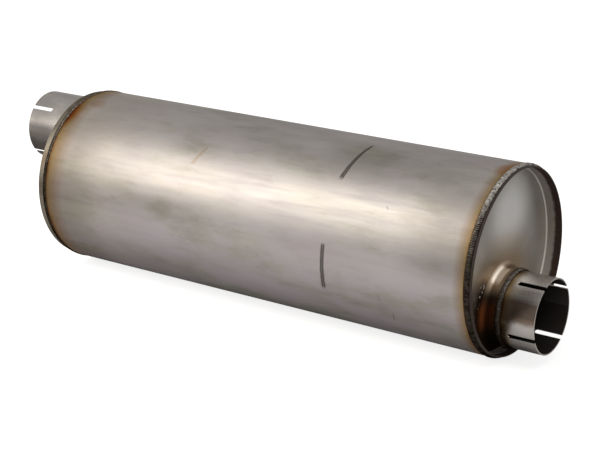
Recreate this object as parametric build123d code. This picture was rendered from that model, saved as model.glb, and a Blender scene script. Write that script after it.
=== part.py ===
from build123d import *
from math import degrees
import os

# A round steel muffler with three chambers. Gas enters the upper stub, runs through the
# inlet tube to the far chamber, comes back through two return tubes to the first chamber
# and leaves through the outlet tube and the lower stub. All sizes are millimetres.
# X runs along the body from inlet to outlet, Z is up, and the origin is the middle of
# the whole length on the body's axis. Angles about X go from +Y towards +Z.

# Shell, rolled from sheet
body_diameter = 254.0
shell_wall = 1.6
rim_to_rim = 723.9  # over the outer edges of the two heads
seam_gap = 1.0  # butt gap between the sheet's two edges
seam_angle = 315.0  # the seam lies low at the back
seam_crown_width = 4.6
seam_crown_height = 0.7

# Heads, pressed pans with their rim outward
head_wall = 1.9
head_recess = 23.0  # rim down to the flat face
head_bend = 3.0  # slanted strip between face and rim wall, measured along each
inlet_lip = 13.0  # rim left standing past the shell's edge
outlet_lip = 8.0
neck_root = 8.0  # radius where the neck rises from the face
neck_drop = 2.5  # neck's edge below the rim
neck_gap = 6.9  # neck to rim wall where they are nearest

# Stubs, the slotted pipe ends
stub_diameter = 101.6
stub_wall = 1.65
inlet_reach = 88.9  # mouth past the rim
outlet_reach = 50.8
stub_tail = 35.0  # run on inside the head
slot_length = 38.1
slot_width = 6.35
saw_miss = 5.1  # each saw cut passes this far from the stub's axis
saw_crossing = 84.2  # angle between the two cuts
outlet_saw_angle = 34.8  # side of the axis on which the first cut passes
inlet_saw_angle = 137.8

# Inner tubes
tube_wall = 1.5
tube_overlap = 25.0  # tube pushed over its stub's tail
tube_stand_out = 14.0  # open end past a baffle's face
return_wall = 1.4
return_to_shell = 10.0  # collar of a return tube to the baffle's rim wall
return_to_tubes = 18.0  # collar of a return tube to the collars of the main tubes

# Slots punched through the two main tubes, in rows across the middle chamber
punch_length = 32.0
punch_width = 8.0
punch_row_gap = 20.0
punches_round = 8
punch_margin = 22.0  # first and last row to the nearest collar or plate, at least

# Baffles, pressed pans with four collars
baffle_wall = 1.6
baffle_depth = 18.0  # rim's edge to the flat face
baffle_bend = 4.0
inlet_baffle_edge = 263.0  # inlet rim to the baffle's rim edge
outlet_baffle_edge = 505.0
collar_rise = 10.0

# Welds
rim_weld_lap = 2.8  # over the shell
inlet_rim_weld_toe = 3.0  # along the head's rim
outlet_rim_weld_toe = 4.8
rim_weld_crown = 1.7
neck_weld_lap = 1.7
neck_weld_toe = 5.5
neck_weld_crown = 1.5
stitch_toe = 4.0
stitch_throat = 1.4  # height on the baffle's edge
stitch_crown = 0.5
inlet_stitch_angles = ((140.0, 14.0), (230.0, 20.0), (320.0, 20.0), (50.0, 20.0))  # middle, span
outlet_stitch_angles = ((116.5, 30.0), (185.0, 20.0), (260.0, 20.0), (20.0, 20.0))
tack_toe = 3.0
tack_crown = 0.6
tack_length = 17.0
tacks_round = 3

slip_gap = 0.2  # radial clearance wherever one sheet or tube slides into another

# Radii that follow
body_radius = body_diameter / 2
shell_bore = body_radius - shell_wall
rim_radius = shell_bore - slip_gap
stub_radius = stub_diameter / 2
neck_bore = stub_radius + slip_gap
neck_radius = neck_bore + head_wall
tube_radius = stub_radius + slip_gap + tube_wall
stub_offset = rim_radius - head_wall - neck_gap - neck_radius
tube_collar_radius = tube_radius + slip_gap + baffle_wall

# A return tube's collar fills the pocket between the rim wall and the two main collars:
# its centre height c on the Y axis solves c + r = pocket_wall and hypot(c, offset) = pocket_tubes + r
pocket_wall = rim_radius - baffle_wall - return_to_shell
pocket_tubes = tube_collar_radius + return_to_tubes
pocket = pocket_wall + pocket_tubes
return_offset = (pocket**2 - stub_offset**2) / (2 * pocket)
return_collar_radius = pocket_wall - return_offset
return_radius = return_collar_radius - baffle_wall - slip_gap

# Places along X that follow
overall_length = inlet_reach + rim_to_rim + outlet_reach
inlet_mouth_x = -overall_length / 2
outlet_mouth_x = overall_length / 2
inlet_rim_x = inlet_mouth_x + inlet_reach
outlet_rim_x = outlet_mouth_x - outlet_reach
shell_start_x = inlet_rim_x + inlet_lip
shell_end_x = outlet_rim_x - outlet_lip
stub_depth = head_recess + head_wall + stub_tail
inlet_tube_x = inlet_rim_x + stub_depth - tube_overlap
outlet_tube_x = outlet_rim_x - stub_depth + tube_overlap
inlet_edge_x = inlet_rim_x + inlet_baffle_edge
outlet_edge_x = inlet_rim_x + outlet_baffle_edge
inlet_face_x = inlet_edge_x + baffle_depth
outlet_face_x = outlet_edge_x + baffle_depth
upstream_end_x = inlet_face_x - collar_rise - tube_stand_out
downstream_end_x = outlet_face_x + baffle_wall + tube_stand_out

facing_inlet = Rot(0, 180, 0)
upper = Pos(0, 0, stub_offset)
lower = Pos(0, 0, -stub_offset)


def spun(outline, arc=360):
    """A solid of revolution about X from an outline of (x, radius)."""
    return revolve(Plane.XZ * make_face(outline), Axis.X, arc)


def rod(start, end, radius):
    return Pos((start + end) / 2, 0, 0) * Rot(0, 90, 0) * Cylinder(radius, end - start)


def pipe(start, end, outside, wall):
    return rod(start, end, outside) - rod(start, end, outside - wall)


def pan_form(depth, wall, bend, skin):
    """Fills a pan that slides into the shell and opens towards +X: its hollow when skin is
    0, its outside when skin is wall. The rim's edge is at x = 0, the flat face at -depth."""
    back = -depth - skin
    radius = rim_radius - wall + skin
    corner = bend + skin * (2 - 2**0.5)  # keeps the sheet's thickness across the bend
    slant = [(back, radius - corner), (back + corner, radius)]
    return spun(Polyline((0, 0), (back, 0), *slant, (0, radius), (0, 0)))


def make_pan(depth, wall, bend):
    return pan_form(depth, wall, bend, wall) - pan_form(depth, wall, bend, 0)


def neck_outside():
    """Fills a head's neck and its rounded root. The head's flat face is at x = 0."""
    centre = neck_radius + neck_root
    top = head_recess - neck_drop
    base = -head_wall / 2
    bore = [(neck_root, neck_radius), (top, neck_radius), (top, 0)]
    hull = Polyline(*bore, (base, 0), (base, centre), (0, centre))
    return spun(hull + CenterArc((neck_root, centre), neck_root, 180, 90))


def neck_inside():
    """Fills the neck's bore, wide at the hidden side, where two cones follow the root."""
    centre = neck_radius + neck_root
    slant = (neck_root + head_wall) * 0.5**0.5
    base = -2 * head_wall
    bore = [(neck_root, neck_bore), (head_recess, neck_bore), (head_recess, 0)]
    foot = [(base, 0), (base, centre), (-head_wall, centre), (neck_root - slant, centre - slant)]
    return spun(Polyline(*bore, *foot, bore[0]))


def bead(low, high, toe, lap, crown, arc=360):
    """Weld in the step between a sheet's edge at x = 0, whose surface is at the radius
    high, and the surface at the radius low that runs on under it towards +X."""
    tip = Vector(toe, low)
    back = Vector(-lap, high)
    run = tip - back
    top = (tip + back) / 2 + Vector(-run.Y, run.X).normalized() * crown
    steps = [(toe, low), (0, low), (0, high)]
    if lap > 0:
        steps.append((-lap, high))
    return spun(Polyline(*steps, (top.X, top.Y), (toe, low)), arc)


def make_shell():
    tube = pipe(shell_start_x, shell_end_x, body_radius, shell_wall)
    return tube - seam_filler()


def seam_filler():
    """What fills the butt gap, along the shell's whole length."""
    length = shell_end_x - shell_start_x
    strip = Box(length, shell_wall * 2, seam_gap)
    middle = (shell_start_x + shell_end_x) / 2
    strip = Rot(seam_angle, 0, 0) * Pos(middle, shell_bore + shell_wall / 2, 0) * strip
    return strip & pipe(shell_start_x, shell_end_x, body_radius, shell_wall)


def make_seam_weld():
    start = shell_start_x + rim_weld_lap + slip_gap
    end = shell_end_x - rim_weld_lap - slip_gap
    half = seam_crown_width / 2
    foot = body_radius - shell_wall / 2
    sides = Polyline((body_radius, -half), (foot, -half), (foot, half), (body_radius, half))
    cap = ThreePointArc((body_radius, half), (body_radius + seam_crown_height, 0), (body_radius, -half))
    bar = extrude(Plane.YZ * make_face(sides + cap), end - start)
    crown = Rot(seam_angle, 0, 0) * Pos(start, 0, 0) * bar
    inside = pipe(start, end, body_radius, body_radius - shell_bore)
    return seam_filler() + (crown - inside)


def make_head():
    """The one pressing used at both ends: rim edge at x = 0, neck below the axis."""
    blank = pan_form(head_recess, head_wall, head_bend, head_wall)
    place = Pos(-head_recess, 0, -stub_offset)
    sheet = make_pan(head_recess, head_wall, head_bend) + (place * neck_outside() & blank)
    return sheet - place * neck_inside()


def make_stub(reach, saw_angle):
    """A stub about X with the head's rim at x = 0 and two saw cuts across its mouth."""
    stub = pipe(-stub_depth, reach, stub_radius, stub_wall)
    for angle in (saw_angle, saw_angle + saw_crossing):
        missed = Vector(0, saw_miss, 0).rotate(Axis.X, angle)
        blade_way = Vector(0, 0, 1).rotate(Axis.X, angle)
        mouth = Plane(origin=Vector(reach, 0, 0) + missed, x_dir=(1, 0, 0), z_dir=blade_way)
        stub -= extrude(mouth * SlotOverall(2 * slot_length, slot_width), stub_diameter, both=True)
    return stub


def make_baffle():
    """Both baffles: rim edge at x = 0 and the face behind it, collars towards the rim."""
    sheet = make_pan(baffle_depth, baffle_wall, baffle_bend)
    for side in (1, -1):
        for y, z, tube in ((0, side * stub_offset, tube_radius), (side * return_offset, 0, return_radius)):
            collar = Pos(-baffle_depth, y, z)
            bore = tube + slip_gap
            sheet += collar * rod(-baffle_wall, collar_rise, bore + baffle_wall)
            sheet -= collar * rod(-2 * baffle_wall, 2 * collar_rise, bore)
    return facing_inlet * sheet


def make_main_tube(start, end):
    """A tube punched with staggered rows of slots where it crosses the middle chamber."""
    tube = pipe(start, end, tube_radius, tube_wall)
    room = outlet_face_x - collar_rise - inlet_face_x - baffle_wall
    pitch = punch_length + punch_row_gap
    rows = int((room - 2 * punch_margin + punch_row_gap) // pitch)
    first = inlet_face_x + baffle_wall + (room - (rows - 1) * pitch) / 2
    punch = Pos(0, 0, tube_radius) * Box(punch_length, punch_width, 4 * tube_wall)
    for row in range(rows):
        for place in range(punches_round):
            turned = Rot(360 / punches_round * (place + row % 2 / 2), 0, 0)
            tube -= Pos(first + row * pitch, 0, 0) * turned * punch
    return tube


def make_stitches(stitch_angles):
    """Short welds that join a baffle's rim edge at x = 0 to the shell, on its inlet side."""
    foot = rim_radius - stitch_throat
    welds = []
    for middle, span in stitch_angles:
        weld = facing_inlet * bead(shell_bore, foot, stitch_toe, 0, stitch_crown, span)
        welds.append(Rot(middle + 90 + span / 2, 0, 0) * weld)  # it was spun from +Z, now turned to -Z
    return welds


def make_tacks(radius, collar):
    """Tacks on a tube of that radius at the edge, at x = 0, of the collar or tube round it."""
    span = degrees(tack_length / radius)
    weld = bead(radius, collar, tack_toe, 0, tack_crown, span)
    return [Rot(360 / tacks_round * tack, 0, 0) * weld for tack in range(tacks_round)]


def group(place, pieces):
    return Compound(children=[place * piece for piece in pieces])


def save(shape, node):
    export_step(shape, "parts/" + node + ".step")


os.makedirs("parts", exist_ok=True)

at_inlet = Pos(inlet_rim_x, 0, 0) * facing_inlet
at_outlet = Pos(outlet_rim_x, 0, 0)

save(make_shell(), "shell")
save(make_seam_weld(), "shell_seam_weld")

head = make_head()
save(at_inlet * head, "inlet_head")
save(at_outlet * head, "outlet_head")

inlet_weld = bead(rim_radius, body_radius, inlet_rim_weld_toe, rim_weld_lap, rim_weld_crown)
outlet_weld = bead(rim_radius, body_radius, outlet_rim_weld_toe, rim_weld_lap, rim_weld_crown)
save(Pos(shell_start_x, 0, 0) * facing_inlet * inlet_weld, "inlet_rim_weld")
save(Pos(shell_end_x, 0, 0) * outlet_weld, "outlet_rim_weld")

# Turned to face the inlet, an angle about X changes its sign
save(upper * at_inlet * make_stub(inlet_reach, -inlet_saw_angle - saw_crossing), "inlet_stub")
save(lower * at_outlet * make_stub(outlet_reach, outlet_saw_angle), "outlet_stub")

neck_weld = bead(stub_radius, neck_radius, neck_weld_toe, neck_weld_lap, neck_weld_crown)
neck_weld = Pos(-neck_drop, 0, 0) * neck_weld
save(upper * at_inlet * neck_weld, "inlet_neck_weld")
save(lower * at_outlet * neck_weld, "outlet_neck_weld")

save(upper * make_main_tube(inlet_tube_x, downstream_end_x), "inlet_tube")
save(lower * make_main_tube(upstream_end_x, outlet_tube_x), "outlet_tube")

tacks = make_tacks(stub_radius, tube_radius)
save(group(upper * Pos(inlet_tube_x, 0, 0) * facing_inlet, tacks), "inlet_joint_tacks")
save(group(lower * Pos(outlet_tube_x, 0, 0), tacks), "outlet_joint_tacks")

return_tube = pipe(upstream_end_x, downstream_end_x, return_radius, return_wall)
collar_edge_x = inlet_face_x - collar_rise
tacks = make_tacks(return_radius, return_collar_radius)
for name, side in (("front", -1), ("rear", 1)):
    across = Pos(0, side * return_offset, 0)
    save(across * return_tube, name + "_return_tube")
    save(group(across * Pos(collar_edge_x, 0, 0) * facing_inlet, tacks), name + "_return_tacks")

baffle = make_baffle()
save(Pos(inlet_edge_x, 0, 0) * baffle, "inlet_baffle")
save(Pos(outlet_edge_x, 0, 0) * baffle, "outlet_baffle")
save(group(Pos(inlet_edge_x, 0, 0), make_stitches(inlet_stitch_angles)), "inlet_baffle_stitches")
save(group(Pos(outlet_edge_x, 0, 0), make_stitches(outlet_stitch_angles)), "outlet_baffle_stitches")
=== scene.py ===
# The look of a round steel muffler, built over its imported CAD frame.
# Everything is in metres. X runs along the body from inlet to outlet and Z is up.
from math import cos, hypot, pi, radians, sin, sqrt

import bmesh
import bpy
from mathutils import Matrix, Vector


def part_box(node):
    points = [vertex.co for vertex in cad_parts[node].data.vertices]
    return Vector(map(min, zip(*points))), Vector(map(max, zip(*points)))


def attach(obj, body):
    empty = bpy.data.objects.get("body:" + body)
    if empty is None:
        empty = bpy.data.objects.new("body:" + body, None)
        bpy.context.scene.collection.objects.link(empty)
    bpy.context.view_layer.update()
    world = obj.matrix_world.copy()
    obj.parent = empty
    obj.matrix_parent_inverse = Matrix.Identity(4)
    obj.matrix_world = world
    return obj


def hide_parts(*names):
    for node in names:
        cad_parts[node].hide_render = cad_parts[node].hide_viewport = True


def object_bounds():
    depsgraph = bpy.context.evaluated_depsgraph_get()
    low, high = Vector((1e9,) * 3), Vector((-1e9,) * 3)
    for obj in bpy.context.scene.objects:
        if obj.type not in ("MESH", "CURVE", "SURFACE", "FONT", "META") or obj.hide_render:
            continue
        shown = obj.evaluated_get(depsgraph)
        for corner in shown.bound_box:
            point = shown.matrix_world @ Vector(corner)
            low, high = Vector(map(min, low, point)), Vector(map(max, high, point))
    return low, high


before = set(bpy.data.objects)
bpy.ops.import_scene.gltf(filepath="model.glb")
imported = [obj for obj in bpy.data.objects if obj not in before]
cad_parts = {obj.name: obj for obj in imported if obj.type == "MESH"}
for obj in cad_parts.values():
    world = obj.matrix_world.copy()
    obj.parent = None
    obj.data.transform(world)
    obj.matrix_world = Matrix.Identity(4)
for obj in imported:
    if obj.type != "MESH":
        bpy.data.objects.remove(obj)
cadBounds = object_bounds()
scene = bpy.context.scene
scene.view_settings.view_transform = "Standard"
mm = 0.001
inMm = 1000  # turns metres into mm
print("frame loaded:", len(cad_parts), "nodes")


# One output of a node. Sums on wires add Math nodes to their tree.
class Wire:
    def __init__(self, graph, socket):
        self.graph = graph
        self.socket = socket

    def math(self, operation, *others):
        return self.graph.add("ShaderNodeMath", {"operation": operation}, [self, *others])

    def __add__(self, other):
        return self.math("ADD", other)

    def __mul__(self, other):
        return self.math("MULTIPLY", other)

    def __sub__(self, other):
        return self.math("SUBTRACT", other)

    def __truediv__(self, other):
        return self.math("DIVIDE", other)

    def __pow__(self, other):
        return self.math("POWER", other)

    # For a number on the left of a wire
    def mathAfter(self, operation, number):
        return self.graph.add("ShaderNodeMath", {"operation": operation}, [number, self])

    def __rsub__(self, other):
        return self.mathAfter("SUBTRACT", other)

    def __rtruediv__(self, other):
        return self.mathAfter("DIVIDE", other)

    def __rpow__(self, other):
        return self.mathAfter("POWER", other)

    def __neg__(self):
        return self * -1

    __radd__ = __add__
    __rmul__ = __mul__

    def size(self):
        return self.math("ABSOLUTE")

    def least(self, other):
        return self.math("MINIMUM", other)

    def most(self, other):
        return self.math("MAXIMUM", other)

    # 0 where this is at low or under, 1 where it is at high or over, smooth between
    def rise(self, low, high):
        settings = {"interpolation_type": "SMOOTHSTEP"}
        return self.graph.add("ShaderNodeMapRange", settings, [self, low, high, 0, 1])

    def fall(self, low, high):
        return 1 - self.rise(low, high)


# A node tree that is being filled, for a material or for Geometry Nodes
class Graph:
    def __init__(self, tree):
        self.tree = tree

    # The one way to make a node: its type, its settings, then its sockets by order or by name
    def add(self, kind, settings=None, sockets=(), out=0):
        node = self.tree.nodes.new(kind)
        for name, value in (settings or {}).items():
            setattr(node, name, value)
        pairs = sockets.items() if isinstance(sockets, dict) else enumerate(sockets)
        for key, value in pairs:
            if isinstance(value, Wire):
                self.tree.links.new(value.socket, node.inputs[key])
            elif value is not None:
                node.inputs[key].default_value = value
        return Wire(self, node.outputs[out]) if node.outputs else None

    def blend(self, factor, first, second):
        first, second = [c if isinstance(c, Wire) else (*c, 1) for c in (first, second)]
        return self.add("ShaderNodeMix", {"data_type": "RGBA"}, {0: factor, 6: first, 7: second}, out=2)

    # Lays a transparent colour over another, as a heat tint lies on steel
    def tint(self, factor, colour, film):
        settings = {"data_type": "RGBA", "blend_type": "MULTIPLY"}
        return self.add("ShaderNodeMix", settings, {0: factor, 6: colour, 7: (*film, 1)}, out=2)

    def split(self, vector):
        first = self.add("ShaderNodeSeparateXYZ", None, [vector])
        return [Wire(self, s) for s in first.socket.node.outputs]

    def join(self, x, y, z):
        return self.add("ShaderNodeCombineXYZ", None, [x, y, z])

    # Noise from 0 to 1, finer along the axes where stretch is larger
    def noise(self, vector, scale, detail=3.0, roughness=0.55, stretch=None):
        if stretch:
            vector = self.add("ShaderNodeVectorMath", {"operation": "MULTIPLY"}, [vector, stretch])
        sockets = {"Vector": vector, "Scale": scale, "Detail": detail, "Roughness": roughness}
        return self.add("ShaderNodeTexNoise", None, sockets)


# The floor and the camera

studio = {
    "floorDrop": 0.002,  # under the body's lowest point
    "floorSize": 12.0,
    "floorColour": (0.55, 0.55, 0.55),
    "floorGlow": 0.80,  # what the floor adds for rays that see it directly
    "glossGlow": 1.3,  # and for rays that see it in the metal, less where the body shades it
    "glossCentre": (0.0, -0.30, 0.0),  # the floor is brightest here and fades outwards
    "glossFade": (0.22, 0.95),  # distances where the fading starts and ends
    "glossLeast": 0.12,  # share of it that is left far out
    "shadeReach": 0.30,
    "shadePower": 1.6,
    "worldLight": 0.42,
    "keyPlace": (-1.36, -1.75, 1.45),
    "keySize": (0.30, 2.0),
    "keyPower": 50.0,
    "keyColour": (1.0, 0.955, 0.885),
    "fillPlace": (1.15, -0.75, 1.75),
    "fillSize": (0.7, 0.5),
    "fillPower": 4.0,
    "fillColour": (1.0, 0.95, 0.88),
}

view = {
    "aim": (0.01905, 0, 0),  # middle of the body
    "azimuth": 34.68,
    "elevation": 17.03,
    "roll": 0.75,
    "sideways": 0.01597,
    "upward": -0.01662,
    "distance": 2.20939,
    "lens": 94.13,
}


def placeCamera():
    turn, rise, roll = radians(view["azimuth"]), radians(view["elevation"]), radians(view["roll"])
    back = Vector((sin(turn) * cos(rise), -cos(turn) * cos(rise), sin(rise)))
    level = Vector((cos(turn), sin(turn), 0))
    above = back.cross(level)
    right = level * cos(roll) + above * sin(roll)
    up = above * cos(roll) - level * sin(roll)
    camera = bpy.data.objects.new("camera", bpy.data.cameras.new("camera"))
    scene.collection.objects.link(camera)
    camera.data.lens = view["lens"]
    place = Vector(view["aim"]) + right * view["sideways"] + up * view["upward"] + back * view["distance"]
    axes = Matrix((right, up, back)).transposed().to_4x4()
    camera.matrix_world = Matrix.Translation(place) @ axes
    scene.camera = camera


def softbox(name, place, size, power, colour):
    lamp = bpy.data.lights.new(name, "AREA")
    lamp.shape = "RECTANGLE"
    lamp.size, lamp.size_y = size
    lamp.energy = power
    lamp.color = colour
    holder = bpy.data.objects.new(name, lamp)
    scene.collection.objects.link(holder)
    away = Vector(place) - Vector(view["aim"])
    holder.location = place
    holder.rotation_euler = away.to_track_quat("Z", "Y").to_euler()


# Which rays see a surface directly, and which see it in a gloss or through glass
def rayKinds(graph):
    path = graph.add("ShaderNodeLightPath").socket.node.outputs
    kinds = ("Camera", "Glossy", "Transmission")
    direct, glossy, through = [Wire(graph, path["Is " + kind + " Ray"]) for kind in kinds]
    return direct, glossy.most(through)


def makeWorld():
    world = bpy.data.worlds.new("studio")
    scene.world = world
    world.use_nodes = True
    world.node_tree.nodes.clear()
    graph = Graph(world.node_tree)
    direct, glossy = rayKinds(graph)
    strength = studio["worldLight"] + direct.most(glossy) * (1 - studio["worldLight"])
    glow = graph.add("ShaderNodeBackground", None, {"Color": (1, 1, 1, 1), "Strength": strength})
    graph.add("ShaderNodeOutputWorld", None, {"Surface": glow})


# The floor glows only for rays from the camera or off a gloss, so it lights nothing else
def floorMaterial():
    material = bpy.data.materials.new("paleFloor")
    material.use_nodes = True
    material.node_tree.nodes.clear()
    graph = Graph(material.node_tree)
    paint = graph.add("ShaderNodeBsdfDiffuse", None, {"Color": (*studio["floorColour"], 1)})
    direct, glossy = rayKinds(graph)
    reach = {"Distance": studio["shadeReach"]}
    unshaded = graph.add("ShaderNodeAmbientOcclusion", {"samples": 8}, reach, out=1) ** studio["shadePower"]
    place = graph.add("ShaderNodeTexCoord", None, [], out=3)
    ends = [place, studio["glossCentre"]]
    apart = graph.add("ShaderNodeVectorMath", {"operation": "DISTANCE"}, ends, out=1)
    least = studio["glossLeast"]
    lit = least + (1 - least) * apart.fall(*studio["glossFade"])
    glow = direct * studio["floorGlow"] + glossy * lit * unshaded * studio["glossGlow"]
    light = graph.add("ShaderNodeEmission", None, {"Strength": glow})
    both = graph.add("ShaderNodeAddShader", None, [paint, light])
    graph.add("ShaderNodeOutputMaterial", None, {"Surface": both})
    return material


def makeFloor():
    half = studio["floorSize"] / 2
    low = cadBounds[0][2] - studio["floorDrop"]
    corners = [(-half, -half, low), (half, -half, low), (half, half, low), (-half, half, low)]
    mesh = bpy.data.meshes.new("floor")
    mesh.from_pydata(corners, [], [(0, 1, 2, 3)])
    mesh.materials.append(floorMaterial())
    floor = bpy.data.objects.new("floor", mesh)
    scene.collection.objects.link(floor)


placeCamera()
makeWorld()
makeFloor()
for side in ("key", "fill"):
    softbox(side, *[studio[side + value] for value in ("Place", "Size", "Power", "Colour")])
print("camera and studio placed")


# Places along the body, read from the frame

shellLow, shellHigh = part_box("shell")
inletStubLow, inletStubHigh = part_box("inlet_stub")
outletStubLow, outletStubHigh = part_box("outlet_stub")
inletHeadLow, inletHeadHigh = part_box("inlet_head")
outletHeadLow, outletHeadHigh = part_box("outlet_head")
body = {
    "radius": (shellHigh[2] - shellLow[2]) / 2,
    "start": shellLow[0],
    "end": shellHigh[0],
    "inletRim": inletHeadLow[0],
    "outletRim": outletHeadHigh[0],
    "stubOffset": (inletStubHigh[2] + inletStubLow[2]) / 2,
    "stubRadius": (outletStubHigh[2] - outletStubLow[2]) / 2,
    "segments": 320,  # flats round the shell and the heads
}


# Closed skins made of rings. A ring is a circle across X, given as its x, its centre's height, its
# radius, and how far outside a limit it may lie, which only a ring off the axis needs.

# Rings round a bend in a wall
def arcOfRings(x, radius, bend, first, last, steps, centre=0.0, skin=0.0):
    rings = []
    for step in range(steps + 1):
        angle = radians(first + (last - first) * step / steps)
        rings.append((x + bend * cos(angle), centre, radius + bend * sin(angle), skin))
    return rings


# The worn end of a wall at x, from its outer face to its inner one, with the wall on the side of back
def endOfWall(x, back, outer, inner, edge, centre=0.0, skin=0.0):
    start = x + back * edge
    return [(start, centre, outer, 0.0), (x, centre, outer - edge, 0.0),
            (x, centre, inner + edge, skin), (start, centre, inner, skin)]


def skinOfRings(name, rings, limit=None):
    segments = body["segments"]
    mesh = bpy.data.meshes.new(name)
    points = []
    for x, centre, radius, skin in rings:
        for step in range(segments):
            angle = 2 * pi * step / segments
            y = radius * cos(angle)
            z = centre + radius * sin(angle)
            if limit and centre:
                reach = hypot(y, z)
                most = limit(x, skin)
                if reach > most:
                    y, z = y * most / reach, z * most / reach
            points.append((x, y, z))
    faces = []
    for ring in range(len(rings)):
        following = (ring + 1) % len(rings)
        for step in range(segments):
            right = (step + 1) % segments
            faces.append((ring * segments + step, ring * segments + right,
                          following * segments + right, following * segments + step))
    mesh.from_pydata(points, [], faces)
    return finishMesh(name, mesh)


# Turns all faces outwards, shades them smooth and keeps the hard edges
def finishMesh(name, mesh, sharpAngle=32):
    work = bmesh.new()
    work.from_mesh(mesh)
    bmesh.ops.remove_doubles(work, verts=work.verts, dist=0.002 * mm)
    bmesh.ops.recalc_face_normals(work, faces=work.faces)
    work.to_mesh(mesh)
    work.free()
    for polygon in mesh.polygons:
        polygon.use_smooth = True
    mesh.set_sharp_from_angle(angle=radians(sharpAngle))
    piece = bpy.data.objects.new(name, mesh)
    scene.collection.objects.link(piece)
    return piece


# The shell and the two heads

shellForm = {
    "wall": 1.6 * mm,
    "edge": 0.2 * mm,  # worn corner of the sheet's edge
}


def makeShell():
    low, high = body["start"], body["end"]
    outside = body["radius"]
    rings = endOfWall(low, 1, outside, outside - shellForm["wall"], shellForm["edge"])
    rings += [(low + high - x, centre, radius, skin) for x, centre, radius, skin in reversed(rings)]
    return skinOfRings("shellSkin", rings)


headForm = {
    "radius": 125.2 * mm,
    "wall": 1.9 * mm,
    "recess": 23.0 * mm,  # from the rim in to the flat face
    "bend": 3.0 * mm,
    "neckRoot": 8.0 * mm,
    "neckDrop": 2.5 * mm,  # from the rim in to the neck's end
    "neckGap": 0.2 * mm,  # neck round the stub
    "edge": 0.25 * mm,
    "bendSteps": 6,
    "rootSteps": 16,
    "boreSteps": 10,
}


# A head is laid out from its rim inwards along X, then turned to face its own end of the body
def makeHead(name, rim, away):
    form = headForm
    wall, bend, root, edge = form["wall"], form["bend"], form["neckRoot"], form["edge"]
    bendSteps, rootSteps, boreSteps = form["bendSteps"], form["rootSteps"], form["boreSteps"]
    inside = form["radius"] - wall
    bore = body["stubRadius"] + form["neckGap"]
    neck = bore + wall
    height = -body["stubOffset"] * away
    face = -form["recess"]
    rings = endOfWall(0.0, -1, form["radius"], inside, edge)
    rings += arcOfRings(face + bend, inside - bend, bend, 90, 180, bendSteps)
    rings += arcOfRings(face + root, neck + root, root, 180, 270, rootSteps, height)
    rings += endOfWall(-form["neckDrop"], -1, neck, bore, edge, height, wall)
    rings += arcOfRings(face + root, neck + root, root + wall, 270, 180, boreSteps, height, wall)
    rings += arcOfRings(face + bend, inside - bend, bend + wall, 180, 90, bendSteps)
    turned = [(rim + away * x, centre, radius, skin) for x, centre, radius, skin in rings]

    # The neck's root runs into the rim wall where the two are nearest
    def limit(x, skin):
        depth = (x - rim) * away - face
        if depth >= bend:
            return inside + skin
        return inside - bend + sqrt(max((bend + skin) ** 2 - (bend - depth) ** 2, 0))

    return skinOfRings(name, turned, limit)


shellSkin = makeShell()
inletHead = makeHead("inletHeadPan", body["inletRim"], -1)
outletHead = makeHead("outletHeadPan", body["outletRim"], 1)
print("shell and heads made")


# Geometry Nodes: one tree for the slotted pipes, one for the weld beads, one for the spatter

def newTree(name, inputs):
    tree = bpy.data.node_groups.new(name, "GeometryNodeTree")
    tree.interface.new_socket(name="Geometry", in_out="OUTPUT", socket_type="NodeSocketGeometry")
    kinds = {float: "NodeSocketFloat", int: "NodeSocketInt", bpy.types.Material: "NodeSocketMaterial"}
    for label, kind in inputs.items():
        tree.interface.new_socket(name=label, in_out="INPUT", socket_type=kinds[kind])
    graph = Graph(tree)
    entry = graph.add("NodeGroupInput").socket.node
    wires = {label: Wire(graph, entry.outputs[label]) for label in inputs}
    return graph, wires


# Ends a tree as every tree here ends
def closeTree(graph, geometry, material):
    real = graph.add("GeometryNodeRealizeInstances", None, [geometry])
    painted = graph.add("GeometryNodeSetMaterial", None, {"Geometry": real, "Material": material})
    graph.add("NodeGroupOutput", None, [painted])


# Runs a tree on an empty mesh and keeps the result as a plain mesh
def grow(name, tree, values):
    carrier = bpy.data.objects.new(name + "Carrier", bpy.data.meshes.new(name + "Carrier"))
    scene.collection.objects.link(carrier)
    modifier = carrier.modifiers.new("grow", "NODES")
    modifier.node_group = tree
    for item in tree.interface.items_tree:
        if item.item_type == "SOCKET" and item.in_out == "INPUT":
            modifier[item.identifier] = values[item.name]
    graph = bpy.context.evaluated_depsgraph_get()
    mesh = bpy.data.meshes.new_from_object(carrier.evaluated_get(graph))
    carrier.modifiers.clear()
    bpy.data.objects.remove(carrier)
    mesh.name = name
    return mesh


pipeForm = {
    "wall": 1.65 * mm,
    "slotLength": 38.1 * mm,
    "slotWidth": 6.35 * mm,
    "sawMiss": 5.1 * mm,  # how far both cuts pass beside the axis
    "sawCrossing": 84.2,  # angle between the two cuts
    "outletSawAngle": 34.8,
    "inletSawAngle": 137.8,
    "edge": 0.22 * mm,
    "edgeAngle": 50,  # corners sharper than this are worn
    "sides": 256,
    "slotEndSides": 32,
    "cutter": 0.2,  # long enough to pass through the whole pipe
    "spare": 0.01,  # by which the bore's cutter is longer than the pipe
}


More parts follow.
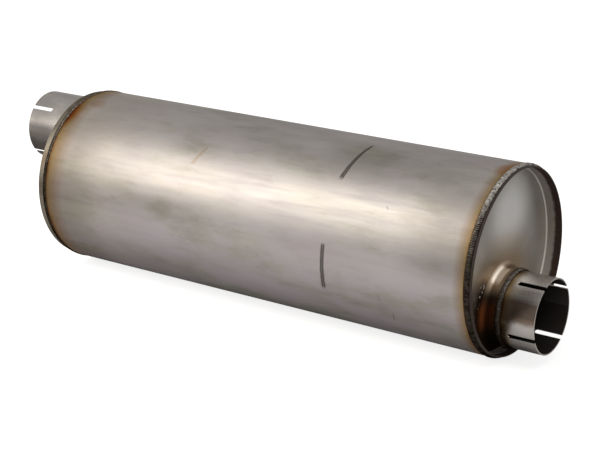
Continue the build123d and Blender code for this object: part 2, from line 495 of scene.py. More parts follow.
# A pipe along X from Tail to Mouth, sawn across its mouth twice
def slottedPipeTree():
    graph, given = newTree("slottedPipe", {
        "Tail": float, "Mouth": float, "Height": float, "Radius": float, "Wall": float, "Slot Length": float,
        "Slot Width": float, "Saw Miss": float, "First Angle": float, "Second Angle": float, "Away": float,
        "Material": bpy.types.Material})

    def rod(radius, length, sides, turn, place):
        sizes = {"Vertices": sides, "Radius": radius, "Depth": length}
        bar = graph.add("GeometryNodeMeshCylinder", None, sizes)
        return moved(graph, bar, place, turn)

    length = (given["Mouth"] - given["Tail"]).size()
    middle = (given["Mouth"] + given["Tail"]) * 0.5
    lying = (0, pi / 2, 0)
    along = graph.join(middle, 0, 0)
    sides, endSides, cutter = pipeForm["sides"], pipeForm["slotEndSides"], pipeForm["cutter"]
    outer = rod(given["Radius"], length, sides, lying, along)
    inner = rod(given["Radius"] - given["Wall"], length + pipeForm["spare"], sides, lying, along)
    pipe = cut(graph, outer, inner)
    reach = given["Slot Length"] - given["Slot Width"] * 0.5
    for label in ("First Angle", "Second Angle"):
        across = graph.join(reach * 2, given["Slot Width"], cutter)
        bar = graph.add("GeometryNodeMeshCube", None, {"Size": across})

        # Turned by half a side, so that no side of it lies flush with the bar's
        halfSide = (0, 0, pi / endSides)
        slotEnd = graph.join(-reach * given["Away"], 0, 0)
        end = rod(given["Slot Width"] * 0.5, cutter, endSides, halfSide, slotEnd)
        offset = graph.join(given["Mouth"], given["Saw Miss"], 0)
        turn = graph.join(given[label], 0, 0)
        for tool in (bar, end):
            pipe = cut(graph, pipe, moved(graph, moved(graph, tool, offset), None, turn))
    placed = moved(graph, pipe, graph.join(0, 0, given["Height"]))
    closeTree(graph, placed, given["Material"])
    return graph.tree


def cut(graph, whole, tool):
    settings = {"operation": "DIFFERENCE", "solver": "MANIFOLD"}
    return graph.add("GeometryNodeMeshBoolean", settings, {"Mesh 1": whole, "Mesh 2": tool})


# Turns a geometry about the origin, then shifts it
def moved(graph, geometry, shift=None, turn=None):
    sockets = {"Geometry": geometry, "Translation": shift, "Rotation": turn}
    return graph.add("GeometryNodeTransform", None, sockets)


# How the surface of every bead varies
rippleForm = {
    "slowNoise": 55.0,  # how quickly each noise changes along the bead
    "stepNoise": 150.0,
    "fineNoise": 420.0,
    "arch": 0.55,  # how far a ripple's sides lie behind its middle, in pitches
    "stagger": 1.1,  # how unevenly the ripples follow each other
    "crest": 0.6,  # power under 1, for broad crests and narrow troughs
    "trough": 0.6,  # share of a ripple's height that lies under the crown
    "grain": 1.6,
    "swell": 0.5,  # how much the crown grows and shrinks
    "sink": 0.25,  # depth of the underside, as a share of the crown
    "slowSway": 1.2,  # what each noise adds to the width
    "stepSway": 0.7,
    "meeting": 0.02,  # share of the height, up and down, over which top and underside meet
    "merge": 0.004 * mm,
}


# A rippled bead. Its section lies between a point Toe along the low surface and a point Lap
# back on the high one, and its ripples follow each other every Pitch along the path.
def beadTree(name, closed):
    form = rippleForm
    graph, given = newTree(name, {
        "Low": float, "High": float, "Toe": float, "Lap": float, "Crown": float, "Edge": float, "Away": float,
        "Height": float, "Run": float, "Start": float, "Angle": float, "Pitch": float, "Ripple": float,
        "Wander": float, "Columns": int, "Rows": int, "Seed": float, "Material": bpy.types.Material})
    sheet = graph.add("GeometryNodeMeshGrid", None, {
        "Size X": 1.0, "Size Y": 1.0, "Vertices X": given["Columns"], "Vertices Y": given["Rows"]})
    across, around = graph.split(graph.add("GeometryNodeInputPosition"))[:2]
    travel = across + 0.5
    turn = (around + 0.5) * (2 * pi)

    # The section lies on a slope from the low surface to the high one
    runX = (given["Toe"] + given["Lap"]) * 0.5
    runR = (given["High"] - given["Low"]) * 0.5
    half = (runX * runX + runR * runR) ** 0.5
    aheadX = runX / half
    aheadR = runR / half
    side = turn.math("COSINE")
    up = turn.math("SINE")
    path = travel * given["Run"]

    spin = travel * (2 * pi)
    if closed:
        loop = graph.join(spin.math("COSINE") * given["Low"], spin.math("SINE") * given["Low"], given["Seed"])
    else:
        loop = graph.join(path, 0, given["Seed"])
    wide = graph.noise(loop, form["slowNoise"], 3.0) - 0.5
    uneven = graph.join(0, 0, side * (3 * mm))
    crossing = graph.add("ShaderNodeVectorMath", {"operation": "ADD"}, [loop, uneven])
    fine = graph.noise(crossing, form["fineNoise"], 3.0) - 0.5
    step = graph.noise(loop, form["stepNoise"], 2.0) - 0.5

    # Ripples are arched, as the pool that laid them was
    phase = path / given["Pitch"] + side * side * form["arch"] + step * form["stagger"]
    scallop = (phase * pi).math("SINE").size() ** form["crest"]
    top = up.most(0)
    ripple = given["Ripple"] * top * (scallop - form["trough"] + fine * form["grain"])
    lift = given["Crown"] * (1 + wide * form["swell"]) + ripple
    sink = given["Crown"] * form["sink"]
    meeting = (-form["meeting"], form["meeting"])
    rise = up * (up.rise(*meeting) * lift + up.fall(*meeting) * sink)
    spread = half * (1 + given["Wander"] * (wide * form["slowSway"] + step * form["stepSway"]))
    if not closed:
        ends = (path.least(given["Run"] - path) / given["Toe"]).least(1) ** 0.5
        spread = spread * ends
        rise = rise * ends
    alongX = (given["Toe"] - given["Lap"]) * 0.5 + side * spread * aheadX + rise * aheadR
    radius = (given["Low"] + given["High"]) * 0.5 - side * spread * aheadR + rise * aheadX
    if closed:
        place = graph.join(given["Edge"] + given["Away"] * alongX, radius * spin.math("COSINE"),
                           radius * spin.math("SINE") + given["Height"])
    else:
        # A straight bead lies along X on the shell, with its section across X
        swing = given["Angle"] + side * spread / given["Low"]
        high = given["Low"] + rise
        place = graph.join(given["Start"] + path, high * swing.math("COSINE"), high * swing.math("SINE"))
    shaped = graph.add("GeometryNodeSetPosition", None, {"Geometry": sheet, "Position": place})
    merged = graph.add("GeometryNodeMergeByDistance", None, {"Geometry": shaped, "Distance": form["merge"]})
    closeTree(graph, merged, given["Material"])
    return graph.tree


# Sizes and distances in mm, from a neck's axis on a face and from the shell's end on the shell
spatterForm = {
    "outletFace": {"count": 56, "seed": 5, "smallest": 0.35, "largest": 1.4,
                   "from": 120, "to": 188, "near": 61.3, "far": 82},
    "inletFace": {"count": 30, "seed": 8, "smallest": 0.18, "largest": 0.7,
                  "from": 200, "to": 340, "near": 61.5, "far": 98},
    "outletShell": {"count": 26, "seed": 11, "smallest": 0.15, "largest": 0.5,
                    "from": 0, "to": 360, "near": -4, "far": -36},
    "inletShell": {"count": 26, "seed": 14, "smallest": 0.15, "largest": 0.5,
                   "from": 0, "to": 360, "near": 4, "far": 36},
    "flatness": 0.55,  # height of a drop on a face, as a share of its width
}


# Droplets on a flat ring round a neck, or round the shell beside a bead
def spatterTree(name, flat):
    graph, given = newTree(name, {
        "Count": int, "Seed": int, "Smallest": float, "Largest": float, "From Angle": float,
        "To Angle": float, "Near": float, "Far": float, "Place": float, "Height": float,
        "Material": bpy.types.Material})

    def random(low, high, extra):
        sockets = {2: low, 3: high, "Seed": given["Seed"] + extra}
        return graph.add("FunctionNodeRandomValue", {"data_type": "FLOAT"}, sockets, out=1)

    angle = random(given["From Angle"], given["To Angle"], 1)
    share = random(0.0, 1.0, 2) ** 2.0  # most lie near the weld
    distance = given["Near"] + share * (given["Far"] - given["Near"])
    if flat:
        radius, x = distance, given["Place"]
    else:
        radius, x = given["Place"], distance
    spot = graph.join(x, radius * angle.math("COSINE"), radius * angle.math("SINE") + given["Height"])
    points = graph.add("GeometryNodePoints", None, {"Count": given["Count"], "Position": spot})
    drop = graph.add("GeometryNodeMeshIcoSphere", None, {"Radius": 1.0, "Subdivisions": 2})
    growth = random(0.0, 1.0, 3) ** 3.0  # and most are small
    scale = given["Smallest"] + growth * (given["Largest"] - given["Smallest"])
    if flat:
        size = graph.join(scale * spatterForm["flatness"], scale, scale)
    else:
        size = graph.join(scale, scale, scale)
    sockets = {"Points": points, "Instance": drop, "Scale": size}
    spread = graph.add("GeometryNodeInstanceOnPoints", None, sockets)
    closeTree(graph, spread, given["Material"])
    return graph.tree


trees = {
    "pipe": slottedPipeTree(),
    "ring": beadTree("ringBead", True),
    "straight": beadTree("straightBead", False),
    "faceDrops": spatterTree("faceSpatter", True),
    "shellDrops": spatterTree("shellSpatter", False),
}
materials = {name: bpy.data.materials.new(name) for name in (
    "rolledShellSheet", "pressedHeadSheet", "stubTubeSteel", "weldMetal", "innerTubeSteel", "spatterMetal")}
print("node trees built")


# The stubs

def makeStub(name, tail, mouth, away, height, angle):
    form = pipeForm
    mesh = grow(name, trees["pipe"], {
        "Tail": tail, "Mouth": mouth, "Height": height, "Radius": body["stubRadius"], "Wall": form["wall"],
        "Slot Length": form["slotLength"], "Slot Width": form["slotWidth"], "Saw Miss": form["sawMiss"],
        "First Angle": radians(angle), "Second Angle": radians(angle + form["sawCrossing"]),
        "Away": float(away), "Material": materials["stubTubeSteel"]})
    piece = finishMesh(name, mesh)
    bevel = piece.modifiers.new("edges", "BEVEL")
    bevel.width = form["edge"]
    bevel.segments = 2
    bevel.limit_method = "ANGLE"
    bevel.angle_limit = radians(form["edgeAngle"])
    bevel.harden_normals = True
    return keepModified(piece)


def keepModified(piece):
    graph = bpy.context.evaluated_depsgraph_get()
    mesh = bpy.data.meshes.new_from_object(piece.evaluated_get(graph))
    piece.modifiers.clear()
    piece.data = mesh
    return piece


inletStub = makeStub("inletStubPipe", inletStubHigh[0], inletStubLow[0], -1,
                     body["stubOffset"], pipeForm["inletSawAngle"])
outletStub = makeStub("outletStubPipe", outletStubLow[0], outletStubHigh[0], 1,
                      -body["stubOffset"], pipeForm["outletSawAngle"])
print("stubs made")


# The weld beads

# Lengths in mm, for the radii too: low is the surface that the toe lies on, high the one that the bead laps
beadForm = {
    "inletRim": {"low": 125.2, "high": 127.0, "toe": 4.2, "lap": 2.6, "crown": 1.45,
                 "pitch": 2.4, "ripple": 0.75, "wander": 0.16, "seed": 1.7},
    "outletRim": {"low": 125.2, "high": 127.0, "toe": 4.8, "lap": 2.6, "crown": 1.45,
                  "pitch": 2.7, "ripple": 0.85, "wander": 0.14, "seed": 4.1},
    "neck": {"low": 50.8, "high": 52.9, "toe": 5.4, "lap": 1.7, "crown": 1.3,
             "pitch": 1.9, "ripple": 0.65, "wander": 0.13, "seed": 7.3},
    "seam": {"low": 127.0, "high": 127.0, "toe": 2.3, "lap": 2.3, "crown": 0.55,
             "pitch": 1.9, "ripple": 0.16, "wander": 0.08, "seed": 9.6},
    "seamAngle": 315,
    "seamInset": 3.0,  # from the shell's ends
    "columnsPerRipple": 5,
    "rows": 18,
    "sharpAngle": 75,  # only steeper steps than this are shaded as edges
}


def makeBead(name, kind, tree, edge, away=1, height=0.0, start=0.0, run=None):
    form = beadForm[kind]
    run = run or 2 * pi * form["low"] * mm
    pitch = form["pitch"] * mm
    values = {"Edge": edge, "Away": float(away), "Height": height, "Run": run, "Start": start,
              "Angle": radians(beadForm["seamAngle"]), "Pitch": pitch, "Wander": form["wander"],
              "Columns": int(run / pitch * beadForm["columnsPerRipple"]), "Rows": beadForm["rows"],
              "Seed": form["seed"], "Material": materials["weldMetal"]}
    for size in ("low", "high", "toe", "lap", "crown", "ripple"):
        values[size.capitalize()] = form[size] * mm
    return finishMesh(name, grow(name, tree, values), beadForm["sharpAngle"])


inletRimBead = makeBead("inletRimBead", "inletRim", trees["ring"], body["start"], -1)
outletRimBead = makeBead("outletRimBead", "outletRim", trees["ring"], body["end"], 1)
inletNeckX = body["inletRim"] + headForm["neckDrop"]
outletNeckX = body["outletRim"] - headForm["neckDrop"]
inletNeckBead = makeBead("inletNeckBead", "neck", trees["ring"], inletNeckX, -1, body["stubOffset"])
outletNeckBead = makeBead("outletNeckBead", "neck", trees["ring"], outletNeckX, 1, -body["stubOffset"])
seamStart = body["start"] + beadForm["seamInset"] * mm
seamEnd = body["end"] - beadForm["seamInset"] * mm
seamBead = makeBead("seamBead", "seam", trees["straight"], 0.0, start=seamStart, run=seamEnd - seamStart)
print("beads laid")


# Weld spatter

def makeSpatter(name, kind, tree, place, height=0.0, shift=0.0):
    form = spatterForm[kind]
    values = {"Count": form["count"], "Seed": form["seed"], "Place": place, "Height": height,
              "Smallest": form["smallest"] * mm, "Largest": form["largest"] * mm,
              "From Angle": radians(form["from"]), "To Angle": radians(form["to"]),
              "Near": form["near"] * mm + shift, "Far": form["far"] * mm + shift,
              "Material": materials["spatterMetal"]}
    return finishMesh(name, grow(name, tree, values))


outletFaceX = body["outletRim"] - headForm["recess"]
inletFaceX = body["inletRim"] + headForm["recess"]
spatter = [
    makeSpatter("outletFaceSpatter", "outletFace", trees["faceDrops"], outletFaceX, -body["stubOffset"]),
    makeSpatter("inletFaceSpatter", "inletFace", trees["faceDrops"], inletFaceX, body["stubOffset"]),
    makeSpatter("outletShellSpatter", "outletShell", trees["shellDrops"], body["radius"], 0.0, body["end"]),
    makeSpatter("inletShellSpatter", "inletShell", trees["shellDrops"], body["radius"], 0.0, body["start"]),
]
print("spatter thrown")


# Materials

steel = {
    "sheet": (0.248, 0.230, 0.207),
    "sheetLight": (0.305, 0.288, 0.262),
    "sheetCool": (0.242, 0.216, 0.218),
    "rose": (0.300, 0.264, 0.284),
    "tube": (0.300, 0.278, 0.262),
    "tubeLight": (0.380, 0.355, 0.335),
    "tubeHighlight": (0.88, 0.82, 0.77),
    "head": (0.395, 0.372, 0.338),
    "headLight": (0.475, 0.452, 0.415),
    "headHighlight": (0.80, 0.785, 0.765),
    "burnished": (0.50, 0.47, 0.44),
    "plum": (0.055, 0.030, 0.024),
    "scale": (0.024, 0.018, 0.015),
    "olive": (0.135, 0.118, 0.092),
    "cut": (0.50, 0.46, 0.42),
    "cutBurnt": (0.045, 0.028, 0.020),
    "rootHighlight": (0.98, 0.88, 0.74),
    "ember": (0.20, 0.050, 0.012),
    "soot": (0.018, 0.011, 0.007),
    "crust": (0.007, 0.006, 0.004),
    "crustLight": (0.032, 0.025, 0.019),
    "crustRust": (0.060, 0.026, 0.012),
    "crustLitTop": (0.150, 0.132, 0.113),
    "crustGlint": (0.23, 0.207, 0.18),
    "crustHighlight": (0.47, 0.445, 0.415),
    "inner": (0.12, 0.11, 0.105),
    "innerLight": (0.22, 0.205, 0.19),
    "drop": (0.06, 0.05, 0.048),
    "dropBright": (0.42, 0.38, 0.34),
    "edgeOn": (0.56, 0.55, 0.55),  # how much of the gloss stays where the metal is seen edge on
    "crustEdgeOn": (0.10, 0.085, 0.075),
}

# Films that colour the steel under them: heat tint from pale to brown, dirt and dull patches, and painted
# shade and a painted dark reflection
films = {
    "pale": (0.88, 0.82, 0.71),
    "straw": (0.80, 0.65, 0.42),
    "amber": (0.78, 0.45, 0.20),
    "brown": (0.52, 0.36, 0.26),
    "ivory": (1.0, 0.98, 0.93),
    "blush": (0.88, 0.78, 0.73),
    "honey": (0.86, 0.76, 0.56),
    "gold": (0.80, 0.68, 0.44),
    "bronze": (0.69, 0.57, 0.46),
    "umber": (0.55, 0.46, 0.40),
    "darkReflection": (0.27, 0.195, 0.145),
    "paintedShade": (0.72, 0.71, 0.70),
    "blotch": (0.84, 0.83, 0.82),
    "patch": (0.85, 0.85, 0.83),
    "stitchDull": (0.78, 0.80, 0.75),
    "rimShade": (0.22, 0.21, 0.21),
    "farGrey": (0.86, 0.85, 0.83),
}


def startMaterial(name):
    material = materials[name]
    material.use_nodes = True
    material.node_tree.nodes.clear()
    graph = Graph(material.node_tree)
    spot = graph.add("ShaderNodeTexCoord", None, [], out=3)
    return graph, spot


def endMaterial(graph, colour, roughness, normal, metallic=1.0, edgeOn=steel["edgeOn"]):
    skin = graph.add("ShaderNodeBsdfPrincipled", None, {
        "Base Color": colour, "Roughness": roughness, "Metallic": metallic, "Normal": normal,
        "Specular Tint": (*edgeOn, 1)})
    graph.add("ShaderNodeOutputMaterial", None, {"Surface": skin})


def bump(graph, height, distance, strength=1.0, under=None):
    sockets = {"Height": height, "Distance": distance, "Strength": strength}
    if under:
        sockets["Normal"] = under
    return graph.add("ShaderNodeBump", None, sockets)


# Angle about X from +Y towards +Z, in degrees from 0 to 360
def angleAbout(y, z):
    turn = z.math("ARCTAN2", y) * (180 / pi)
    return turn + turn.fall(-0.001, 0.001) * 360


# 1 on the outlet's half of the body and 0 on the inlet's, or the other way round
def outletHalf(x):
    return x.rise(0, 0.01)


def inletHalf(x):
    return x.fall(-0.01, 0)


# 1 on the outlet's half of the body and -1 on the inlet's
def facing(x):
    return x.rise(-0.01, 0.01) * 2 - 1


# Marks on the shell: a line from (x, angle) to (x, angle), each with its half width, all in mm and degrees
shellMarks = {
    "upperStitch": {"from": (169.0, 100.5, 1.9), "to": (162.0, 132.5, 3.7), "depth": 0.92},
    "lowerStitch": {"from": (162.4, 173.8, 3.1), "to": (159.4, 202.0, 3.4), "depth": 0.90},
    "backStitch": {"from": (162.0, 250.0, 2.2), "to": (161.0, 270.0, 2.6), "depth": 0.8},
    "farStitch": {"from": (160.8, 10.0, 2.0), "to": (161.9, 30.0, 2.6), "depth": 0.85},
    "scuffOne": {"from": (243.0, 144.0, 0.9), "to": (247.0, 146.5, 1.1), "depth": 0.35},
    "scuffTwo": {"from": (244.0, 198.0, 0.7), "to": (246.5, 202.0, 0.9), "depth": 0.4},
    "scuffThree": {"from": (261.5, 210.0, 0.6), "to": (259.0, 217.0, 0.9), "depth": 0.55},
}
faintMark = {"from": (-63.0, 129.0, 2.4), "to": (-74.0, 142.0, 3.4), "depth": 0.6}

# Where the torch stayed longer: (x, angle, half length along x, half angle, strength)
hotSpots = (
    (-331.0, 121.0, 24.0, 17.0, 0.95),
    (-331.0, 123.0, 15.0, 13.0, 1.0),
    (374.0, 99.0, 26.0, 11.0, 0.6),
    (374.0, 222.0, 12.0, 20.0, 0.5),
    (-331.0, 205.0, 12.0, 22.0, 0.6),
    (-331.0, 165.0, 11.0, 12.0, 0.5),
    (-297.0, 108.0, 17.0, 7.0, 0.32),
    (-331.0, 300.0, 18.0, 30.0, 0.7),
    (374.0, 20.0, 18.0, 30.0, 0.7),
)
# The sheet is dull here, over one of the stitches: x, angle, half length along x, half angle
stitchDull = {"x": 0.168, "angle": 114, "halfX": 0.07, "halfAngle": 18}

# Each pair is a stretch over which a film fades in or out. Heat tints go by mm from the bead's toe.
shellLook = {
    "tints": {"pale": (6, 38), "straw": (5, 24), "brown": (0.5, 7)},
    "blushStart": (10, 18),
    "blushEnd": (22, 38),
    "paintedShadeEnd": (35, 120),  # mm from the toe too
    "paintedShadeTop": (0.085, 0.118),  # heights
    "paintedShadeFoot": (-0.02, 0.03),
    "ivory": (-0.33, -0.10),  # places along X, for a film and a roughness of the inlet's half
    "duller": (-0.33, -0.08),
}


def markMask(graph, x, angle, mark, ragged):
    x0, a0, w0 = mark["from"]
    x1, a1, w1 = mark["to"]
    share = (angle - a0) / (a1 - a0)
    middle = x0 * mm + share * ((x1 - x0) * mm)
    width = (w0 + share * (w1 - w0)) * mm
    off = ((x - middle).size() + ragged * (1.6 * mm)) / width
    ends = ((share - 0.5).size() + ragged * 0.08).fall(0.46, 0.56)
    core = 1 - 0.35 * off.fall(0.1, 0.5)
    return off.fall(0.45, 1.25) * ends * core * mark["depth"]


# Films beside a weld, laid over each other
def heatTint(graph, distance, colour, tints):
    for film, (full, gone) in tints.items():
        colour = graph.tint(distance.fall(full, gone), colour, films[film])
    return colour


def paintShell():
    look = shellLook
    graph, spot = startMaterial("rolledShellSheet")
    x, y, z = graph.split(spot)
    angle = angleAbout(y, z)
    cloud = graph.noise(spot, 1.6, 5.0, 0.6, (3.0, 9.0, 9.0))
    streak = graph.noise(spot, 1.3, 4.0, 0.6, (6.0, 90.0, 90.0))
    grain = graph.noise(spot, 2.0, 3.0, 0.6, (60.0, 500.0, 500.0))
    patch = graph.noise(spot, 2.6, 6.0, 0.62, (3.0, 8.0, 8.0))
    blotch = graph.noise(spot, 1.5, 4.0, 0.6, (14.0, 40.0, 40.0))
    ragged = graph.noise(spot, 160.0, 3.0) - 0.5
    sway = graph.noise(spot, 7.0, 3.0, 0.6)
    colour = graph.blend(cloud.rise(0.35, 0.68), steel["sheet"], steel["sheetLight"])
    colour = graph.blend(streak.rise(0.50, 0.75) * 0.5, colour, steel["sheetCool"])
    colour = graph.tint(blotch.fall(0.35, 0.50) * 0.5, colour, films["blotch"])
    # Rose patches: a random tone, and on the lower half more of it as a painted tint of the floor's
    # reflection
    colour = graph.blend(patch.rise(0.36, 0.64) * (0.3 + z.fall(-0.06, 0.05) * 0.6), colour, steel["rose"])
    colour = graph.tint(patch.fall(0.34, 0.54) * 0.7, colour, films["patch"])

    # Duller where a stitch heated the sheet from inside
    offX = ((x - stitchDull["x"]) / stitchDull["halfX"]).size()
    offAngle = (angle - stitchDull["angle"]).size() / stitchDull["halfAngle"]
    dull = offX.most(offAngle) + (sway - 0.5) * 0.8
    colour = graph.tint(dull.fall(0.4, 1.1) * 0.7, colour, films["stitchDull"])

    # Heat tint beside each rim bead, in mm from the bead's toe, wider and stronger in places
    fromInlet = (x - body["start"]) * inMm - 1
    fromOutlet = (body["end"] - x) * inMm - 1
    nearest = fromInlet.least(fromOutlet) + ragged * 3.0
    distance = nearest * (1.25 - sway * 0.5) * (1 + outletHalf(x))
    colour = heatTint(graph, distance, colour, look["tints"])
    blush = distance.rise(*look["blushStart"]) * distance.fall(*look["blushEnd"])
    colour = graph.tint(blush * 0.7, colour, films["blush"])
    colour = graph.tint(x.fall(*look["ivory"]), colour, films["ivory"])
    # Painted shade near both ends of the body, under its top; at the outlet's end it leaves out the lower
    # part
    flank = z.fall(*look["paintedShadeTop"]) * z.rise(*look["paintedShadeFoot"]).most(inletHalf(x))
    colour = graph.tint(nearest.fall(*look["paintedShadeEnd"]) * flank, colour, films["paintedShade"])
    for spotX, spotAngle, halfX, halfAngle, strength in hotSpots:
        offX = (x - spotX * mm) / (halfX * mm)
        offAngle = (angle - spotAngle) / halfAngle
        hot = (offX * offX + offAngle * offAngle + (sway - 0.5) * 0.9).fall(0.05, 1.0)
        colour = graph.tint(hot * strength, colour, films["amber"])
    marks = None
    for mark in shellMarks.values():
        mask = markMask(graph, x, angle, mark, ragged)
        marks = mask if marks is None else marks.most(mask)
    colour = graph.blend(marks, colour, steel["scale"])
    colour = graph.tint(markMask(graph, x, angle, faintMark, ragged), colour, films["straw"])
    roughness = 0.47 + (cloud - 0.5) * 0.16 + (streak - 0.5) * 0.16 + (patch - 0.5) * 0.2
    roughness = roughness + marks * 0.15 + x.fall(*look["duller"]) * 0.07
    waves = graph.noise(spot, 1.5, 2.0, stretch=(2.0, 7.0, 7.0))
    fine = bump(graph, grain, 0.05 * mm, 0.7, bump(graph, waves, 0.6 * mm, 0.6))
    endMaterial(graph, colour, roughness, fine)


# Places round a neck are angles: at the outlet, 90 is its top, 180 its front and 270 its foot
headLook = {
    "paintedHighlight": (0.015, 0.058),  # middle of the painted highlight on the face, as Y and height
    "paintedHighlightEnd": (0.012, 0.068),
    "bronze": (8, 68),  # mm from the neck, over which a film fades out
    "straw": (2, 24),
    "amber": (4, 20),
    "soot": (10, 32),
    "hottest": 225,
    "sootMiddle": 222,
    "emberMiddle": 176,
    "rootHighlightMiddle": 112,
}


def paintHeads():
    look = headLook
    graph, spot = startMaterial("pressedHeadSheet")
    x, y, z = graph.split(spot)
    away = facing(x)
    height = z * away  # up at the outlet, down at the inlet, whose head is turned over
    neckZ = z + away * body["stubOffset"]
    neckRadius = body["stubRadius"] + headForm["neckGap"] + headForm["wall"]
    fromNeck = ((y * y + neckZ * neckZ) ** 0.5 - neckRadius) * inMm
    fromAxis = (y * y + z * z) ** 0.5 * inMm
    depth = (body["outletRim"] - x).least(x - body["inletRim"]) * inMm
    cloud = graph.noise(spot, 1.7, 5.0, 0.6, (9.0, 9.0, 9.0))
    sway = graph.noise(spot, 16.0, 4.0, 0.6)
    ragged = graph.noise(spot, 160.0, 3.0) - 0.5
    grain = graph.noise(spot, 900.0, 3.0, 0.6)
    colour = graph.blend(cloud.rise(0.35, 0.68), steel["head"], steel["headLight"])

    # A painted highlight on the face, opposite the neck
    offY, offZ = y - look["paintedHighlight"][0], height - look["paintedHighlight"][1]
    fromPaintedHighlight = (offY * offY + offZ * offZ) ** 0.5 + (cloud - 0.5) * 0.03
    colour = graph.blend(fromPaintedHighlight.fall(*look["paintedHighlightEnd"]) * 0.9, colour, steel["headHighlight"])

    # Heat round the neck: strongest low and towards the front, where the weld was closed
    around = angleAbout(y, neckZ * away)
    low = (around - look["hottest"]).size().fall(42, 82)
    near = fromNeck + ragged * 4 + (sway - 0.5) * 12
    colour = graph.tint(near.fall(*look["bronze"]), colour, films["bronze"])
    colour = graph.tint(near.fall(*look["straw"]) * (0.25 + low * 0.75), colour, films["straw"])
    colour = graph.tint(near.fall(*look["amber"]) * low, colour, films["amber"])
    shifted = around + (sway - 0.5) * 16
    sooty = near.fall(*look["soot"]) * (shifted - look["sootMiddle"]).size().fall(68, 92)
    colour = graph.blend(sooty * 0.97, colour, steel["soot"])
    fromEmber = (around - look["emberMiddle"] + (sway - 0.5) * 40).size()
    ember = fromEmber.fall(4, 26) * (fromNeck - 5).size().fall(1, 10)
    colour = graph.blend(ember * 0.45, colour, steel["ember"])
    # A painted highlight on the neck's root, towards its top
    onRoot = fromNeck.fall(3, 8) * (depth - 15).size().fall(4, 8)
    paintedRootHighlight = (shifted - look["rootHighlightMiddle"]).size().fall(12, 24) * onRoot
    colour = graph.blend(paintedRootHighlight * 0.95, colour, steel["rootHighlight"])

    # Rim wall: burnished by the press tool, with dark scale down from its edge
    outer = headForm["radius"] * inMm
    inner = outer - headForm["wall"] * inMm
    rimInside = fromAxis.rise(inner - 0.9, inner - 0.4) * fromAxis.fall(inner + 0.6, inner + 1.1)
    colour = graph.blend(rimInside, colour, steel["burnished"])
    burnt = (depth + ragged * 4 + (sway - 0.5) * 7).fall(8, 13)
    colour = graph.blend(rimInside * burnt * 0.95, colour, steel["plum"])
    lip = fromAxis.rise(outer - 0.6, outer - 0.3)
    colour = graph.blend(lip * inletHalf(x), colour, steel["olive"])
    colour = graph.tint(lip * sway.rise(0.40, 0.58) * 0.8, colour, films["umber"])
    scorched = lip * outletHalf(x)
    colour = graph.blend(scorched * 0.97, colour, steel["soot"])
    edge = depth.fall(0.05, 0.3) * fromAxis.rise(120, 121)
    colour = graph.blend(edge * 0.9, colour, steel["cutBurnt"])
    roughness = 0.40 + (cloud - 0.5) * 0.14 + rimInside * burnt * 0.2 + sooty * 0.2 + scorched * 0.3
    fine = bump(graph, grain, 0.03 * mm, 0.6, bump(graph, cloud, 0.5 * mm, 0.4))
    endMaterial(graph, colour, roughness, fine, 1 - scorched.most(edge) * 0.7)


# Angles as round a neck, and distances in mm from the weld, over which a film fades
stubLook = {
    "tints": {"honey": (3, 20), "gold": (0, 10), "brown": (0.5, 3.0)},
    "darkReflectionMiddle": 163,
    "darkReflectionEnd": (10, 22),
    "topHighlightEnd": (116, 138),
    "topHighlightStart": (3, 16),
    "shadeEnd": (-0.020, 0.014),  # height from the inlet stub's axis, in m
}


def paintStubs():
    look = stubLook
    graph, spot = startMaterial("stubTubeSteel")
    x, y, z = graph.split(spot)
    away = facing(x)
    stubZ = z + away * body["stubOffset"]
    radius = (y * y + stubZ * stubZ) ** 0.5 * inMm
    fromWeld = (x - body["outletRim"]).most(body["inletRim"] - x) * inMm - 3.0
    fromMouth = (outletStubHigh[0] - x).least(x - inletStubLow[0]) * inMm
    cloud = graph.noise(spot, 1.6, 5.0, 0.6, (10.0, 16.0, 16.0))
    streak = graph.noise(spot, 1.3, 4.0, 0.6, (12.0, 160.0, 160.0))
    ragged = graph.noise(spot, 160.0, 3.0) - 0.5
    grain = graph.noise(spot, 1.5, 3.0, 0.6, (120.0, 900.0, 900.0))
    colour = graph.blend(cloud.rise(0.35, 0.68), steel["tube"], steel["tubeLight"])
    colour = graph.blend(streak.rise(0.5, 0.75) * 0.4, colour, steel["sheetCool"])
    worn = fromWeld + ragged * 3 + (cloud - 0.5) * 8
    colour = heatTint(graph, worn, colour, look["tints"])

    # A painted dark reflection in a band along the outlet stub, and a painted highlight on its top beside it
    around = angleAbout(y, stubZ * away)
    fromDarkReflection = (around - look["darkReflectionMiddle"] + (cloud - 0.5) * 20).size()
    band = fromDarkReflection.fall(*look["darkReflectionEnd"]) * outletHalf(x)
    colour = graph.tint(band * (0.7 + worn.rise(4, 20) * 0.22), colour, films["darkReflection"])
    topHighlight = around.fall(*look["topHighlightEnd"]) * outletHalf(x) * worn.rise(*look["topHighlightStart"])
    colour = graph.blend(topHighlight * 0.8, colour, steel["tubeHighlight"])
    colour = graph.tint(stubZ.fall(*look["shadeEnd"]) * inletHalf(x), colour, films["rimShade"])
    colour = graph.tint(inletHalf(x), colour, films["farGrey"])
    bore = (body["stubRadius"] - pipeForm["wall"]) * inMm
    inside = radius.fall(bore + 0.25, bore + 0.75)
    colour = graph.blend(inside * 0.93, colour, steel["scale"])
    edge = fromMouth.fall(0.08, 0.3)
    colour = graph.blend(edge * 0.9, colour, steel["cut"])
    roughness = 0.25 + (cloud - 0.5) * 0.14 + (streak - 0.5) * 0.1 + inside * 0.3
    fine = bump(graph, grain, 0.04 * mm, 0.6)
    endMaterial(graph, colour, roughness, fine)


beadHighlightHeight = (0.070, 0.122)  # heights over which the outlet's rim bead gets a painted highlight
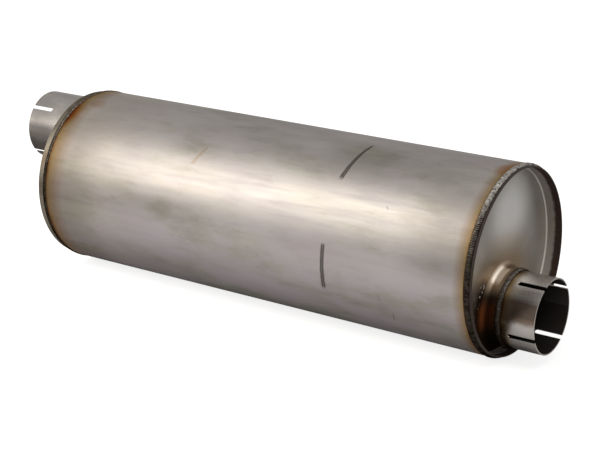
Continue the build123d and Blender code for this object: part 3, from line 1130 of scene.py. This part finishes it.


def paintWelds():
    graph, spot = startMaterial("weldMetal")
    x, y, z = graph.split(spot)
    speck = graph.noise(spot, 700.0, 3.0, 0.6)
    blotch = graph.noise(spot, 90.0, 4.0, 0.6)
    crust = graph.noise(spot, 330.0, 4.0, 0.65)
    glint = graph.noise(spot, 250.0, 3.0, 0.55)
    up = graph.split(graph.add("ShaderNodeNewGeometry", None, [], out=1))[2]
    colour = graph.blend(blotch.rise(0.35, 0.65), steel["crust"], steel["crustLight"])
    colour = graph.blend(blotch.fall(0.33, 0.42) * 0.5, colour, steel["crustRust"])
    # Painted light on faces turned up, and painted glints, most of them on top
    colour = graph.blend(up.rise(0.3, 0.95) * 0.7, colour, steel["crustLitTop"])
    shiny = glint.rise(0.48, 0.66) * (0.10 + up.rise(0.25, 0.9) * 0.9)
    colour = graph.blend(shiny * 0.8, colour, steel["crustGlint"])

    # A speckled painted highlight round the top of the outlet's rim bead
    highlightSpeckle = (glint * 0.35 + speck * 0.65).rise(0.42, 0.56)
    beadTopHighlight = z.rise(*beadHighlightHeight) * outletHalf(x) * highlightSpeckle
    colour = graph.blend(beadTopHighlight * 0.8, colour, steel["crustHighlight"])
    roughness = 0.34 + crust * 0.25 - shiny * 0.2
    fine = bump(graph, speck, 0.3 * mm, 0.9, bump(graph, crust, 0.9 * mm, 0.9))
    endMaterial(graph, colour, roughness, fine, edgeOn=steel["crustEdgeOn"])


def paintInner():
    graph, spot = startMaterial("innerTubeSteel")
    cloud = graph.noise(spot, 22.0, 5.0, 0.6)
    grain = graph.noise(spot, 700.0, 3.0, 0.6)
    colour = graph.blend(cloud.rise(0.35, 0.68), steel["inner"], steel["innerLight"])
    endMaterial(graph, colour, 0.48 + (cloud - 0.5) * 0.2, bump(graph, grain, 0.04 * mm, 0.6))


def paintSpatter():
    graph, spot = startMaterial("spatterMetal")
    tone = graph.noise(spot, 60.0, 2.0)
    colour = graph.blend(tone.rise(0.48, 0.56), steel["drop"], steel["dropBright"])
    grain = graph.noise(spot, 1500.0, 2.0)
    endMaterial(graph, colour, 0.32 + tone * 0.2, bump(graph, grain, 0.05 * mm, 0.5))


paintShell()
paintHeads()
paintStubs()
paintWelds()
paintInner()
paintSpatter()
print("materials painted")


# What stands for which CAD node, and the finish of the nodes that stay

pieces = [
    (shellSkin, "shell", "shell_steel", "rolledShellSheet"),
    (inletHead, "inlet_head", "head_steel", "pressedHeadSheet"),
    (outletHead, "outlet_head", "head_steel", "pressedHeadSheet"),
    (inletStub, "inlet_stub", "stub_steel", "stubTubeSteel"),
    (outletStub, "outlet_stub", "stub_steel", "stubTubeSteel"),
    (inletRimBead, "inlet_rim_weld", "weld", "weldMetal"),
    (outletRimBead, "outlet_rim_weld", "weld", "weldMetal"),
    (inletNeckBead, "inlet_neck_weld", "weld", "weldMetal"),
    (outletNeckBead, "outlet_neck_weld", "weld", "weldMetal"),
    (seamBead, "shell_seam_weld", "weld", "weldMetal"),
]
for piece, node, slotName, material in pieces:
    piece.data.materials.clear()
    piece.data.materials.append(materials[material])
    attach(piece, "root")
    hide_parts(node)
for piece in spatter:
    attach(piece, "root")
replaced = [node for piece, node, slotName, material in pieces]
for name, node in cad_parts.items():
    if name not in replaced:
        welded = name.endswith(("tacks", "stitches"))
        node.data.materials.clear()
        node.data.materials.append(materials["weldMetal" if welded else "innerTubeSteel"])

print("pieces placed")
